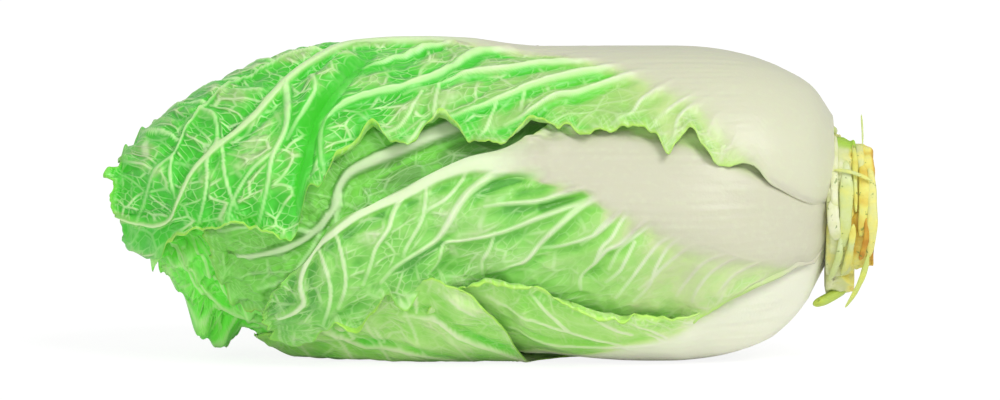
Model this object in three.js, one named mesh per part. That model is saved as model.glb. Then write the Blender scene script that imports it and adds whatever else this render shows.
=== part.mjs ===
// Napa cabbage head (Brassica rapa, Pekinensis group), whole and lying on its side.
// Millimetres, +Z up, +X towards the trimmed butt. The origin is on the resting plane, under the
// middle of the head. A point on the head is given by x along its axis and by its bearing, an
// angle round the axis in degrees: 0 faces -Y, 90 is the top and -90 the underside.
// Each leaf is one closed shell. It lies on the head's outline, under the leaves that cover it.
import * as THREE from "three";

// The head's outline: a round body, long tapering tips towards -X and a short shoulder at +X
const HEAD_RADIUS = 64;
const AXIS_HEIGHT = 61;
const TIP_START = -60;
const TIP_LENGTH = 99;
const TIP_RISE = 5;
const SHOULDER_START = 70;
const SHOULDER_LENGTH = 78;
const SHOULDER_SKEW = 3;
const SHOULDER_RISE = 1.5;
const RISE_LENGTH = 65;

// The leaves' layers
const LAYER_GAP = 2.55;
const DRAPE_START = 9;
const DRAPE_END = 34;

// Grid cells of a leaf's faces: length along the head, and width in degrees round it
const OUTER_CELL = [15, 12.5];
const INNER_CELL = [16, 14];

// The stem: a cone inside the head, and the trimmed end with the cut leaf bases round it
const STEM_HEIGHT = 60;
const STEM_START = 84;
const STEM_END = 150;
const STEM_RADIUS = 24;
const STUB_GAP = 0.6;

const DEGREE = Math.PI / 180;
const { clamp, lerp, smoothstep } = THREE.MathUtils;

// Height of the head's axis, which rises a little towards both ends
function axisHeight(x) {
  const beyond = Math.max(TIP_START - x, x - SHOULDER_START, 0) / RISE_LENGTH;
  const rise = x < 0 ? TIP_RISE : SHOULDER_RISE;
  return AXIS_HEIGHT + rise * Math.min(beyond * beyond, 1.2);
}

// Radius of the head's outline; the shoulder reaches further along the top than underneath
function headRadius(x, bearing) {
  if (x < TIP_START) return HEAD_RADIUS * (1 - ((TIP_START - x) / TIP_LENGTH) ** 1.9);
  if (x < SHOULDER_START) return HEAD_RADIUS;
  const length = SHOULDER_LENGTH + SHOULDER_SKEW * Math.sin(bearing * DEGREE);
  return HEAD_RADIUS * (1 - Math.min((x - SHOULDER_START) / length, 1) ** 2.5) ** 0.625;
}

// A point at a depth under the outline, square to it, and above the resting plane by that depth
function headPoint(x, bearing, depth) {
  const slope = headRadius(x + 0.5, bearing) - headRadius(x - 0.5, bearing);
  const radius = headRadius(x, bearing) - depth * Math.hypot(1, slope);
  const angle = bearing * DEGREE;
  const z = axisHeight(x) + radius * Math.sin(angle);
  return new THREE.Vector3(x, -radius * Math.cos(angle), Math.max(z, depth));
}

// Value of one column of a leaf's stations at x, on a smooth curve through them
function along(stations, column, x) {
  const last = stations.length - 1;
  if (x >= stations[0][0]) return stations[0][column];
  if (x <= stations[last][0]) return stations[last][column];
  const i = stations.findIndex((station) => station[0] < x) - 1;
  const tangent = (k) => {
    const before = stations[Math.max(k - 1, 0)];
    const after = stations[Math.min(k + 1, last)];
    return (after[column] - before[column]) / (after[0] - before[0]);
  };
  const step = stations[i + 1][0] - stations[i][0];
  const s = (x - stations[i][0]) / step;
  const start = stations[i][column] * (1 + 2 * s) * (1 - s) ** 2 + tangent(i) * step * s * (1 - s) ** 2;
  const end = stations[i + 1][column] * s * s * (3 - 2 * s) - tangent(i + 1) * step * s * s * (1 - s);
  return start + end;
}

// A leaf's outline is a list of stations: x, then the bearings of its low margin, midrib and high
// margin, from its base to its tip. The tip edge bows back by `bow` at both margins.
// `petiole` and `blade` are its thickness at the base of the midrib and in the blade.
const LEAVES = [
  {
    name: "leaf_under", petiole: 6, blade: 1.4, bow: 16, colour: 0xb4dc86,
    stations: [
      [134, -171, -136, -99], [110, -172, -134, -98], [84, -170, -132, -96], [50, -166, -130, -94],
      [18, -164, -126, -82], [4, -163, -124, -54], [-10, -162, -122, -33], [-24, -162, -120, -31],
      [-44, -162, -116, -38], [-66, -160, -110, -46], [-80, -156, -104, -62], [-92, -148, -100, -76],
    ],
  },
  {
    name: "leaf_lower", petiole: 6, blade: 1.4, bow: 14, colour: 0xcfe5a8,
    stations: [
      [134, -97, -62, -31], [110, -96, -59, -35], [84, -100, -62, -38], [52, -104, -68, -38],
      [32, -106, -72, -35], [15, -108, -74, -26], [-2, -108, -76, -28], [-20, -106, -78, -46],
      [-38, -98, -80, -60],
    ],
  },
  {
    name: "leaf_top", petiole: 6.5, blade: 1.4, bow: 7, colour: 0xa6df7e,
    stations: [
      [134, 3, 68, 126], [110, 12, 80, 138], [84, 24, 86, 146], [44, 31, 90, 150], [4, 29, 90, 154],
      [-34, 24, 90, 156], [-60, 21, 86, 156], [-72, 2, 66, 154], [-94, -4, 44, 148],
      [-114, -16, 29, 138], [-132, -32, 4, 126], [-151, -58, -18, 104],
    ],
  },
  {
    name: "leaf_front", petiole: 6.5, blade: 1.4, bow: 8, colour: 0xc4e3a0,
    stations: [
      [134, -30, -9, 12], [110, -34, 0, 38], [84, -36, 9, 50], [44, -44, 22, 58], [8, -40, 23, 40],
      [-10, -27, 20, 28], [-30, -30, 12, 18], [-46, -50, 4, 9], [-62, -52, -5, 1],
      [-74, -58, -24, -18], [-90, -60, -44, -34],
    ],
  },
  {
    name: "leaf_back", petiole: 6, blade: 1.4, bow: 16, colour: 0xb9de92,
    stations: [
      [134, 128, 158, 186], [110, 122, 160, 198], [84, 112, 162, 210], [44, 104, 164, 220],
      [0, 100, 166, 226], [-40, 98, 166, 228], [-76, 96, 163, 226], [-100, 98, 158, 216],
      [-124, 108, 150, 196],
    ],
  },
  {
    name: "leaf_shoulder", petiole: 5, blade: 1.8, bow: 12, colour: 0x8fc873,
    stations: [
      [124, -2, 34, 70], [80, -12, 40, 86], [40, -26, 42, 92], [0, -36, 36, 92], [-34, -40, 26, 86],
      [-58, -42, 15, 74], [-68, -44, -5, 64], [-84, -50, -17, 52], [-100, -52, -24, 42],
      [-114, -44, -24, 24],
    ],
  },
  {
    name: "leaf_tip", petiole: 5, blade: 1.8, bow: 10, colour: 0x8fe06a, lobe: 14,
    stations: [
      [121, -116, -80, -44], [80, -126, -82, -38], [30, -130, -84, -34], [-30, -130, -84, -28],
      [-60, -130, -82, -18], [-80, -128, -76, -12], [-104, -122, -74, -8], [-120, -112, -52, -4],
      [-138, -96, -34, 4],
    ],
  },
  leafAt("leaf_back_upper", 106, 124, -144, 80, 5, 1.8, 0x8fce6c),
  leafAt("leaf_back_lower", 228, 124, -132, 80, 5, 1.8, 0x9cd678),
  leafAt("leaf_back_inner", 166, 122, -126, 80, 5, 1.8, 0xa8d884),
  leafAt("leaf_inner_1", -22, 114, -128, 76, 5, 3, 0x9ad874),
  leafAt("leaf_inner_2", 66, 114, -132, 76, 5, 3, 0xa4dd7c),
  leafAt("leaf_inner_3", 134, 112, -130, 76, 5, 3, 0xa0d978),
  leafAt("leaf_inner_4", 200, 112, -126, 76, 5, 3, 0xacdf86),
  leafAt("leaf_inner_5", 270, 110, -122, 76, 5, 3, 0xb2e08c),
  leafAt("heart_leaf_1", 30, 100, -118, 82, 6, 3.5, 0xd6e98f),
  leafAt("heart_leaf_2", 150, 98, -114, 82, 6, 3.5, 0xdcec98),
  leafAt("heart_leaf_3", 268, 96, -110, 74, 6, 3.5, 0xe2efa2),
];

// Places where a later leaf of the list lies over an earlier one, between two values of x
const LIFTED = [
  { over: "leaf_front", under: "leaf_under", from: -160, to: -20 },
  { over: "leaf_front", under: "leaf_lower", from: 82, to: 160 },
];

// A leaf of the inner layers, as wide on both sides of its midrib
function leafAt(name, bearing, base, tip, width, petiole, blade, colour) {
  const shape = [[0, 0.45], [0.15, 0.7], [0.4, 0.95], [0.7, 1], [0.88, 0.95], [1, 0.75]];
  const stations = shape.map(([u, share]) => {
    const side = width * share;
    return [lerp(base, tip, u), bearing - side, bearing, bearing + side];
  });
  return { name, petiole, blade, bow: 10, colour, stations, cell: INNER_CELL };
}

// Where a point lies on a leaf: u from base to tip, v from margin to margin, and its distance out
function onLeaf(leaf, x, bearing) {
  const base = leaf.stations[0][0];
  const tip = leaf.stations.at(-1)[0];
  const middle = along(leaf.stations, 2, x);
  const turn = THREE.MathUtils.euclideanModulo(bearing - middle + 180, 360) - 180;
  const side = turn < 0 ? middle - along(leaf.stations, 1, x) : along(leaf.stations, 3, x) - middle;
  const v = clamp(turn / side, -1, 1);
  const across = Math.max(Math.abs(turn) - side, 0) * DEGREE * headRadius(x, bearing);
  const edge = tip + leaf.bow * v * v;
  const beyond = Math.max(edge - x, x - base, 0);
  return { u: clamp((base - x) / (base - edge), 0, 1), v, distance: Math.hypot(across, beyond) };
}

function thickness(leaf, u, v) {
  return leaf.blade + (leaf.petiole - leaf.blade) * (1 - u) ** 1.5 * (1 - v * v);
}

// How much of leaf `upper` lies over leaf `lower` at x: 1 over, 0 under
function order(upper, lower, x) {
  const swap = LIFTED.find(({ over, under }) => over === lower.name && under === upper.name)
    ?? LIFTED.find(({ over, under }) => over === upper.name && under === lower.name);
  const first = LEAVES.indexOf(upper) < LEAVES.indexOf(lower) ? 1 : 0;
  if (!swap) return first;
  const lifted = smoothstep(x, swap.from - 8, swap.from + 8) * (1 - smoothstep(x, swap.to - 8, swap.to + 8));
  return lerp(first, 1 - first, lifted);
}

// Depth of a leaf's outer face: the leaves over it, with their gaps, easing off past their margins
function depthOf(leaf, x, bearing) {
  let depth = 0;
  for (const other of LEAVES) {
    if (other === leaf) continue;
    const { u, v, distance } = onLeaf(other, x, bearing);
    const cover = 1 - smoothstep(distance, DRAPE_START, DRAPE_END);
    depth += order(other, leaf, x) * cover * (thickness(other, u, v) + LAYER_GAP);
  }
  return depth;
}

// How far the hanging lobe of a tip leaf stands out from the head, on its low side
function lobeHeight(leaf, x, v) {
  return (leaf.lobe ?? 0) * Math.exp(-(((x + 110) / 11) ** 2)) * smoothstep(-v, 0, 0.5);
}

// A closed shell between two grids of points, each given by a function of u and v from 0 to 1
function shell(outer, inner, rows, columns) {
  const positions = [];
  const index = [];
  const stride = columns + 1;
  const half = (rows + 1) * stride;
  for (const face of [outer, inner]) {
    for (let i = 0; i <= rows; i += 1) {
      for (let j = 0; j <= columns; j += 1) positions.push(...face(i / rows, j / columns));
    }
  }
  const quad = (a, b, c, d) => index.push(a, b, c, a, c, d);
  for (let i = 0; i < rows; i += 1) {
    for (let j = 0; j < columns; j += 1) {
      const a = i * stride + j;
      quad(a, a + 1, a + stride + 1, a + stride);
      quad(half + a, half + a + stride, half + a + stride + 1, half + a + 1);
    }
  }
  for (let j = 0; j < columns; j += 1) {
    const end = rows * stride + j;
    quad(j + 1, j, half + j, half + j + 1);
    quad(end, end + 1, half + end + 1, half + end);
  }
  for (let i = 0; i < rows; i += 1) {
    const low = i * stride;
    const high = low + columns;
    quad(low, low + stride, half + low + stride, half + low);
    quad(high + stride, high, half + high, half + high + stride);
  }
  const geometry = new THREE.BufferGeometry();
  geometry.setAttribute("position", new THREE.Float32BufferAttribute(positions, 3));
  geometry.setIndex(index);
  geometry.computeVertexNormals();
  return geometry;
}

function leafGeometry(leaf) {
  const base = leaf.stations[0][0];
  const tip = leaf.stations.at(-1)[0];
  const widest = Math.max(...leaf.stations.map((station) => station[3] - station[1]));
  const place = (inside) => (u, across) => {
    const v = across * 2 - 1;
    const x = lerp(base, tip + leaf.bow * v * v, u);
    const middle = along(leaf.stations, 2, x);
    const margin = along(leaf.stations, v < 0 ? 1 : 3, x);
    const bearing = lerp(middle, margin, Math.abs(v));
    const depth = depthOf(leaf, x, bearing) - lobeHeight(leaf, x, v);
    return headPoint(x, bearing, depth + inside * thickness(leaf, u, v));
  };
  const [length, width] = leaf.cell ?? OUTER_CELL;
  const rows = Math.round((base - tip) / length);
  return shell(place(0), place(1), rows, 2 * Math.round(widest / width / 2));
}

// A solid of revolution about the stem's line, from a profile of [x, radius] with x falling
function turned(profile, height, sides) {
  const points = profile.map(([x, radius]) => new THREE.Vector2(radius, -x));
  const geometry = new THREE.LatheGeometry(points, sides);
  geometry.rotateZ(Math.PI / 2);
  geometry.translate(0, 0, height);
  return geometry;
}

// The cut bases of trimmed leaves: bearings from and to, x from and to, outer radius
const STUBS = [
  [6, 68, 136.6, 143.6, 33],
  [14, 64, 144.4, 153, 32],
  [-60, 0, 136.6, 143.6, 32],
  [-48, 8, 144.4, 152, 33],
  [-100, -66, 136.6, 143, 38],
  [-172, -106, 136.6, 146, 33],
  [127, 182, 136.6, 149, 32],
  [74, 121, 136.6, 142, 31],
];

function stubGeometry([from, to, start, end, radius]) {
  const place = (inside) => (u, v) => {
    const angle = lerp(to, from, v) * DEGREE;
    const rounding = 1 - 0.12 * (2 * v - 1) ** 2;
    const r = inside ? STEM_RADIUS + STUB_GAP : radius * rounding;
    return new THREE.Vector3(lerp(start, end, u), -r * Math.cos(angle), STEM_HEIGHT + r * Math.sin(angle));
  };
  return shell(place(0), place(1), 2, 6);
}

function piece(name, geometry, color, roughness) {
  const mesh = new THREE.Mesh(geometry, new THREE.MeshStandardMaterial({ color, roughness, metalness: 0 }));
  mesh.name = name;
  return mesh;
}

const head = new THREE.Group();

const stemProfile = [
  [STEM_END + 1, 0], [STEM_END, STEM_RADIUS - 3], [STEM_END - 2, STEM_RADIUS], [136.2, STEM_RADIUS],
  [134.8, 9], [126, 12.5], [116, 14], [104, 14], [94, 12], [STEM_START + 3, 7], [STEM_START, 0],
];
head.add(piece("stem_butt", turned(stemProfile, STEM_HEIGHT, 24), 0xdde3ae, 0.6));

STUBS.forEach((stub, i) => {
  head.add(piece(`leaf_stub_${i + 1}`, stubGeometry(stub), 0xd9c765, 0.7));
});

for (const leaf of LEAVES) head.add(piece(leaf.name, leafGeometry(leaf), leaf.colour, 0.45));

const budProfile = [
  [STEM_START - 2, 0], [76, 4], [56, 8], [30, 11], [-10, 12], [-50, 11], [-76, 8], [-90, 4], [-94, 0],
];
head.add(piece("heart_bud", turned(budProfile, AXIS_HEIGHT, 16), 0xe8f0a6, 0.5));

export default head;
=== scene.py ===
"""Napa cabbage head, whole and lying on its side, trimmed at the butt.
Lengths are in millimetres and angles in degrees; a mesh is turned to metres as it is made.
"""
import bpy
import numpy as np
from mathutils import Matrix, Vector


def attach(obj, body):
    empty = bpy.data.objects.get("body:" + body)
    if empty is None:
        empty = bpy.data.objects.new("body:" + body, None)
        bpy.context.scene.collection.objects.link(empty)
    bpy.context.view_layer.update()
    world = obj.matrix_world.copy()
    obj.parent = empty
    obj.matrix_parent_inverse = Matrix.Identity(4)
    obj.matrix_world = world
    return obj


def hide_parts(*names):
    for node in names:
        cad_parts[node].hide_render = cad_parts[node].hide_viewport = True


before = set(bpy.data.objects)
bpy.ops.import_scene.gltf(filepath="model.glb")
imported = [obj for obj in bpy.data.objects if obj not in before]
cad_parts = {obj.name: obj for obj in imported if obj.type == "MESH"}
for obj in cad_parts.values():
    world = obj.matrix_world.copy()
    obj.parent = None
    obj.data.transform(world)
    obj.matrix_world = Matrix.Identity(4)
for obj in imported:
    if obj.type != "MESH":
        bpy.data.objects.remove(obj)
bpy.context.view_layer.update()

# ---------------------------------------------------------------- leaf top: the big leaf over the head
# The outermost leaf: a flat white petiole as wide as a hand at the butt, narrowing to a midrib
# that runs over the top and down the near side, and a crinkled green blade netted with pale
# veins. It grows from the stem and holds on by wrapping round all the leaves inside it.
MM = 0.001

# The head is a barrel of overlapping leaves. A place on its outline is x along the axis, from the
# butt (+) to the leaf tips (-), and a bearing round the axis: 0 faces -Y and 90 is the top.
HEAD_RADIUS = 64
AXIS_HEIGHT = 61
TIP_START, TIP_LENGTH, TIP_RISE = -60, 99, 5
SHOULDER_START, SHOULDER_LENGTH, SHOULDER_SKEW, SHOULDER_RISE = 70, 78, 3, 1.5
RISE_LENGTH = 65
# Leaves lie a gap apart. One that comes out from under another eases up between these distances
# from its edge, and two that swap places do it over twice this length.
LAYER_GAP = 2.55
DRAPE_START, DRAPE_END = 9, 34
SWAP_HALF = 8


def smooth(value, low, high):
    """0 below low, 1 above high, and an S curve between them."""
    t = np.clip((value - low) / (high - low), 0, 1)
    return t * t * (3 - 2 * t)


def between(value, start, full, fade, gone):
    """1 from full to fade, 0 before start and past gone, and S curves between them."""
    return smooth(value, start, full) * (1 - smooth(value, fade, gone))


def bell(value, width):
    """exp(-(value / width)**2): 1 at nought and fading to either side."""
    return np.exp(-((value / width) ** 2))


def axis_height(x):
    """Height of the axis: level in the middle, rising with the square of the way to either end."""
    beyond = np.maximum(np.maximum(TIP_START - x, x - SHOULDER_START), 0) / RISE_LENGTH
    return AXIS_HEIGHT + np.where(x < 0, TIP_RISE, SHOULDER_RISE) * np.minimum(beyond**2, 1.2)


def head_radius(x, bearing):
    """Radius of the outline: a barrel, a long tapered tip by a power of x and a short round shoulder."""
    tip = 1 - (np.maximum(TIP_START - x, 0) / TIP_LENGTH) ** 1.9
    length = SHOULDER_LENGTH + SHOULDER_SKEW * np.sin(np.radians(bearing))
    shoulder = 1 - np.clip((x - SHOULDER_START) / length, 0, 1) ** 2.5
    return HEAD_RADIUS * np.where(x < TIP_START, tip, shoulder**0.625)


def head_point(x, bearing, depth):
    """The point at a depth square to the outline, and no lower than that depth over the ground."""
    slope = head_radius(x + 0.5, bearing) - head_radius(x - 0.5, bearing)
    radius = head_radius(x, bearing) - depth * np.hypot(1, slope)
    angle = np.radians(bearing)
    z = np.maximum(axis_height(x) + radius * np.sin(angle), np.maximum(depth, 0))
    return np.stack([x, -radius * np.cos(angle), z], -1)


def unrolled(x, bearing):
    """The outline laid flat, in mm: x, and the arc from bearing 0."""
    return np.stack([x, head_radius(x, bearing) * np.radians(bearing)], -1)


def along(stations, column, x):
    """A column of the stations at x: cubic Hermite between them, each slope from its neighbours."""
    knots, values = np.array(stations, float)[::-1, [0, column]].T
    wide_knots, wide_values = np.pad(knots, 1, "edge"), np.pad(values, 1, "edge")
    slopes = (wide_values[2:] - wide_values[:-2]) / (wide_knots[2:] - wide_knots[:-2])
    x = np.clip(x, knots[0], knots[-1])
    i = np.clip(np.searchsorted(knots, x, "right") - 1, 0, len(knots) - 2)
    step = knots[i + 1] - knots[i]
    s = (x - knots[i]) / step
    start = values[i] * (1 + 2 * s) * (1 - s) ** 2 + slopes[i] * step * s * (1 - s) ** 2
    return start + values[i + 1] * s * s * (3 - 2 * s) - slopes[i + 1] * step * s * s * (1 - s)


def even_leaf(bearing, base, tip, width, petiole, blade):
    """A leaf of the inner layers: the same width on both sides of a straight midrib."""
    shape = [(0, 0.45), (0.15, 0.7), (0.4, 0.95), (0.7, 1), (0.88, 0.95), (1, 0.75)]
    stations = [
        (base + (tip - base) * u, bearing - width * share, bearing, bearing + width * share)
        for u, share in shape
    ]
    return dict(petiole=petiole, blade=blade, bow=10, stations=stations)


# From the outermost leaf inwards. Stations are x and the bearings of the low margin, the midrib
# and the high margin; petiole and blade are thicknesses, bow sets the tip's margins back, and
# lobe is how far the low side of the tip hangs out.
LEAVES = {
    "leaf_under": dict(petiole=6, blade=1.4, bow=16, stations=[
        (136, -171, -136, -99), (110, -172, -134, -98), (84, -170, -132, -96), (50, -166, -130, -94),
        (18, -164, -126, -76), (4, -163, -124, -42), (-8, -162, -122, -28), (-24, -162, -120, -23),
        (-44, -162, -116, -30), (-66, -160, -110, -44), (-80, -156, -104, -62), (-92, -148, -100, -76)]),
    "leaf_lower": dict(petiole=6, blade=1.4, bow=14, stations=[
        (136, -97, -62, -31), (110, -96, -59, -35), (84, -100, -62, -38), (52, -104, -68, -36),
        (32, -106, -72, -30), (15, -108, -74, -23), (-2, -108, -76, -22), (-20, -106, -78, -34),
        (-38, -98, -80, -56)]),
    "leaf_top": dict(petiole=6.5, blade=1.4, bow=7, stations=[
        (137, 3, 68, 126), (110, 12, 80, 138), (84, 24, 86, 146), (44, 31, 90, 150), (4, 29, 90, 154),
        (-34, 24, 90, 156), (-60, 21, 78, 156), (-72, 2, 66, 154), (-94, -4, 42, 148),
        (-114, -16, 24, 138), (-132, -32, -12, 126), (-151, -58, -36, 104)]),
    "leaf_front": dict(petiole=6.5, blade=1.4, bow=8, stations=[
        (137, -33, -9, 12), (110, -38, 0, 38), (84, -46, 9, 50), (44, -50, 22, 50), (8, -42, 23, 28),
        (-10, -34, 20, 23), (-30, -36, 12, 14), (-46, -50, 4, 6), (-62, -52, -5, -2),
        (-74, -58, -24, -18), (-90, -60, -44, -34)]),
    "leaf_back": dict(petiole=6, blade=1.4, bow=16, stations=[
        (136, 128, 158, 186), (110, 122, 160, 198), (84, 112, 162, 210), (44, 104, 164, 220),
        (0, 100, 166, 226), (-40, 98, 166, 228), (-76, 96, 163, 226), (-100, 98, 158, 216),
        (-124, 108, 150, 196)]),
    "leaf_shoulder": dict(petiole=5, blade=1.8, bow=12, stations=[
        (124, -2, 34, 70), (80, -12, 36, 86), (40, -26, 32, 92), (0, -36, 28, 92), (-34, -40, 22, 86),
        (-58, -42, 14, 74), (-70, -44, 8, 64), (-84, -50, 0, 52), (-100, -52, -6, 42),
        (-114, -44, -10, 24)]),
    "leaf_tip": dict(petiole=5, blade=1.8, bow=10, lobe=14, stations=[
        (121, -116, -80, -44), (80, -126, -82, -38), (30, -130, -84, -34), (-30, -130, -84, -28),
        (-60, -130, -82, -18), (-80, -128, -76, -12), (-104, -122, -74, -8), (-120, -112, -52, -4),
        (-138, -96, -34, 4)]),
    "leaf_back_upper": even_leaf(106, 124, -144, 80, 5, 1.8),
    "leaf_back_lower": even_leaf(228, 124, -132, 80, 5, 1.8),
    "leaf_back_inner": even_leaf(166, 122, -126, 80, 5, 1.8),
    "leaf_inner_1": even_leaf(-22, 114, -128, 76, 5, 3),
    "leaf_inner_2": even_leaf(66, 114, -132, 76, 5, 3),
    "leaf_inner_3": even_leaf(134, 112, -130, 76, 5, 3),
    "leaf_inner_4": even_leaf(200, 112, -126, 76, 5, 3),
    "leaf_inner_5": even_leaf(270, 110, -122, 76, 5, 3),
    "heart_leaf_1": even_leaf(30, 100, -118, 82, 6, 3.5),
    "heart_leaf_2": even_leaf(150, 98, -114, 82, 6, 3.5),
    "heart_leaf_3": even_leaf(268, 96, -110, 74, 6, 3.5),
}
LAYERS = list(LEAVES)
# Where a leaf of the list lies over one named before it: over, under, and the x it starts and ends at
LIFTED = [("leaf_front", "leaf_under", -160, -20), ("leaf_front", "leaf_lower", 82, 160)]


def on_leaf(leaf, x, bearing):
    """Place on a leaf: u from base to tip, v from margin to margin, and mm outside or inside its edge."""
    base, tip = leaf["stations"][0][0], leaf["stations"][-1][0]
    low, middle, high = (along(leaf["stations"], column, x) for column in (1, 2, 3))
    turn = (bearing - middle + 180) % 360 - 180
    side = np.where(turn < 0, middle - low, high - middle)
    v = np.clip(turn / side, -1, 1)
    edge = tip + leaf["bow"] * v**2
    across = (np.abs(turn) - side) * np.radians(1) * head_radius(x, bearing)
    outside = np.hypot(np.maximum(across, 0), np.maximum(np.maximum(edge - x, x - base), 0))
    inside = np.minimum(-across, x - edge)
    return np.clip((base - x) / (base - edge), 0, 1), v, outside, inside


def layer_order(upper, lower, x):
    """1 where leaf `upper` lies over leaf `lower` at x, 0 where it lies under, eased where they swap."""
    first = 1.0 if LAYERS.index(upper) < LAYERS.index(lower) else 0.0
    for over, under, low, high in LIFTED:
        if {over, under} == {upper, lower}:
            lifted = between(x, low - SWAP_HALF, low + SWAP_HALF, high - SWAP_HALF, high + SWAP_HALF)
            return first + (1 - 2 * first) * lifted
    return first


def lie(name, x, bearing):
    """Depth of a leaf under the outline, the sum of the leaves over it, and how far they hide it."""
    depth, hidden = np.zeros_like(x), np.zeros_like(x)
    for other, leaf in LEAVES.items():
        over = layer_order(other, name, x)
        if other == name or np.all(over == 0):
            continue
        u, v, outside, inside = on_leaf(leaf, x, bearing)
        thickness = leaf["blade"] + (leaf["petiole"] - leaf["blade"]) * (1 - u) ** 1.5 * (1 - v**2)
        depth += over * (1 - smooth(outside, DRAPE_START, DRAPE_END)) * (thickness + LAYER_GAP)
        hidden = np.maximum(hidden, over * smooth(inside, 4, 14))
    return depth, hidden


def on_head(name, way):
    """Points of a line of (x, bearing), at the depth where the leaf lies."""
    x, bearing = way.T
    return head_point(x, bearing, lie(name, x, bearing)[0])


NOISE_CELLS = 64


def ripple(places, size, seed):
    """Gradient noise, about -1 to 1: random slopes at the corners of a net of `size`, eased between."""
    angle = np.random.default_rng(seed).uniform(0, 2 * np.pi, (NOISE_CELLS, NOISE_CELLS))
    p = places / size
    cell = np.floor(p).astype(int)
    f = p - cell
    ease = f**3 * (f * (6 * f - 15) + 10)
    total = 0
    for corner in ((0, 0), (0, 1), (1, 0), (1, 1)):
        i, j = np.moveaxis((cell + corner) % NOISE_CELLS, -1, 0)
        share = np.prod(np.where(corner, ease, 1 - ease), -1)
        away = f - corner
        total = total + share * (np.cos(angle[i, j]) * away[..., 0] + np.sin(angle[i, j]) * away[..., 1])
    return 1.6 * total


def curve(points, count):
    """`count` places on a smooth Catmull-Rom curve through a few points."""
    p = np.array([points[0], *points, points[-1]], float)
    t = np.linspace(0, len(points) - 1, count)
    i = np.minimum(t.astype(int), len(points) - 2)
    f = (t - i)[:, None]
    a, b, c, d = p[i], p[i + 1], p[i + 2], p[i + 3]
    square, cube = 2 * a - 5 * b + 4 * c - d, 3 * b - 3 * c + d - a
    return 0.5 * (2 * b + (c - a) * f + square * f**2 + cube * f**3)


def to_line(points, line):
    """Distance from each point to a line of places, and how far along it the nearest place is, 0 to 1."""
    best, share = np.full(len(points), 1e6), np.zeros(len(points))
    for k in range(len(line) - 1):
        step = line[k + 1] - line[k]
        t = np.clip((points - line[k]) @ step / (step @ step), 0, 1)
        d = np.linalg.norm(points - line[k] - t[:, None] * step, axis=1)
        share = np.where(d < best, (k + t) / (len(line) - 1), share)
        best = np.minimum(best, d)
    return best, share


def vein_field(name, points, bearing, veins):
    """Height, paleness and clearance of the veins at each point of a leaf, and the valley that
    follows a thick vein on its margin side. A vein is a width and its places (x, bearing). It is
    round, its height half**0.8 * exp(-(d / half)**2) at a distance d. Its half width is 0.42 of
    the width, tapering to 0.4 of that, and no less than 0.85 mm."""
    height, pale, valley = np.zeros((3, len(points)))
    clear = np.full(len(points), 30.0)
    for width, *places in veins:
        way = curve(places, 4 * len(places))
        line = on_head(name, way)
        near = np.all((points > line.min(0) - 14) & (points < line.max(0) + 14), axis=1)
        d, share = to_line(points[near], line)
        half = np.maximum(0.42 * width * (1 - 0.6 * share), 0.85)
        ends = 1 - 0.6 * smooth(share, 0.6, 1)
        lift = ends * 1.1 * half**0.8 * (0.45 + 0.55 * smooth(half, 0.8, 1.2))
        height[near] = np.maximum(height[near], lift * bell(d, half))
        strong = ends * (0.45 + 0.55 * smooth(width, 0.8, 2.2))
        pale[near] = np.maximum(pale[near], strong * (1 - smooth(d / half, 0.5, 1.2)))
        clear[near] = np.minimum(clear[near], np.maximum(d - half, 0))
        middle = along(LEAVES[name]["stations"], 2, way[:, 0].mean())
        at = np.interp(share, np.linspace(0, 1, len(way)), way[:, 1])
        beyond = (bearing[near] - at) * np.sign(way[:, 1].mean() - middle) / np.maximum(d, 0.5)
        trough = smooth(beyond, 0.2, 0.7) * smooth(width, 2.4, 4) * ends * smooth(share, 0, 0.12)
        valley[near] = np.maximum(valley[near], trough * bell(d - half - 1.6, 2.6))
    return height, pale, clear, valley


def side_veins(name, side, first, last, count, seed, size=1.0):
    """Side veins from the midrib to one margin: each leaves it forwards and bends out, then forks."""
    stations = LEAVES[name]["stations"]
    rng = np.random.default_rng(seed)
    column = 1 if side < 0 else 3
    veins = []
    for k, x in enumerate(np.linspace(first, last, count)):
        x += rng.uniform(-3, 3)
        middle = float(along(stations, 2, x))
        reach = float(along(stations, column, x - 20)) - middle
        width = size * (3.2 - 1.2 * k / count)
        lean = rng.uniform(28, 40)
        bend = rng.uniform(0.3, 0.45)
        out, end = (x - lean * 0.55, middle + reach * bend), (x - lean * 1.1, middle + reach * 0.92)
        veins.append((width, (x, middle), out, end))
        fork = (x - lean * 0.75, middle + reach * (bend + 0.2))
        veins.append((width * 0.5, fork, (fork[0] - 16, fork[1] + reach * 0.16)))
        fork = (x - lean * 0.3, middle + reach * bend * 0.6)
        veins.append((width * 0.45, fork, (fork[0] - 3, fork[1] + reach * 0.3)))
    return veins


BACK_STEP = 4


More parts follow.
